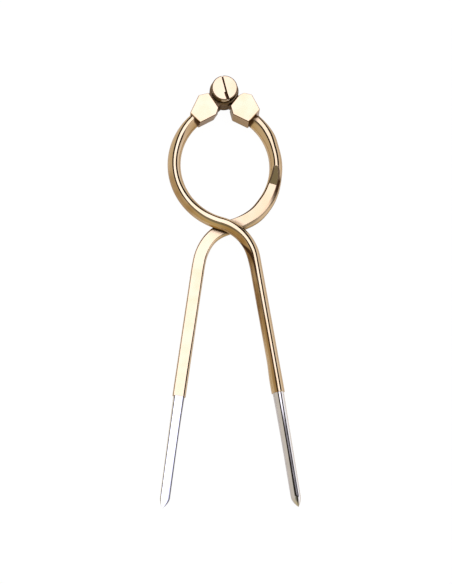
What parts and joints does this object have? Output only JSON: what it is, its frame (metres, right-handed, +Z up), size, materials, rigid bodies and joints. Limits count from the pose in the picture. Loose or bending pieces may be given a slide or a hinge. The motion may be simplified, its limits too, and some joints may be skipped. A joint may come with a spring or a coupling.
{
  "type": "one-handed divider",
  "caption": "Brass one-handed divider with crossed arms: squeezing the finger ring opens its half-round legs with steel points, on a screwed friction hinge.",
  "frame": {"origin": "on the hinge axis, in the plane that the back of the hinge lies on, at the flush end of the pivot screw", "axes": "+Z up out of the front of the tool, along the hinge axis; +Y from the points towards the hinge, midway between the legs; +X to the right seen from the front"},
  "size_m": [0.0554, 0.1778, 0.0115],
  "materials": {
    "arm_brass": "polished",
    "block_brass": "polished",
    "screw_brass": "polished, turned face",
    "point_steel": "polished stainless steel",
    "spring_steel": "plain spring steel",
    "washer_bronze": "plain bronze"
  },
  "bodies": {
    "rear_limb": {"rear_arm": "arm_brass", "tongue_block": "block_brass", "rear_point": "point_steel"},
    "front_limb": {"front_arm": "arm_brass", "fork_block": "block_brass", "front_point": "point_steel", "head_washer": "screw_brass", "spring_washer": "spring_steel", "front_friction_washer": "washer_bronze", "rear_friction_washer": "washer_bronze"},
    "screw": {"pivot_screw": "screw_brass"}
  },
  "joints": [
    {"name": "hinge_open", "type": "hinge", "parent": "rear_limb", "child": "front_limb", "pos_m": [0, 0, 0.00424], "axis": [0, 0, 1], "range_deg": [-17.7, 32.2]},
    {"name": "screw_turn", "type": "hinge", "parent": "front_limb", "child": "screw", "pos_m": [0, 0, 0.00424], "axis": [0, 0, 1], "range_deg": [-90, 90]}
  ]
}
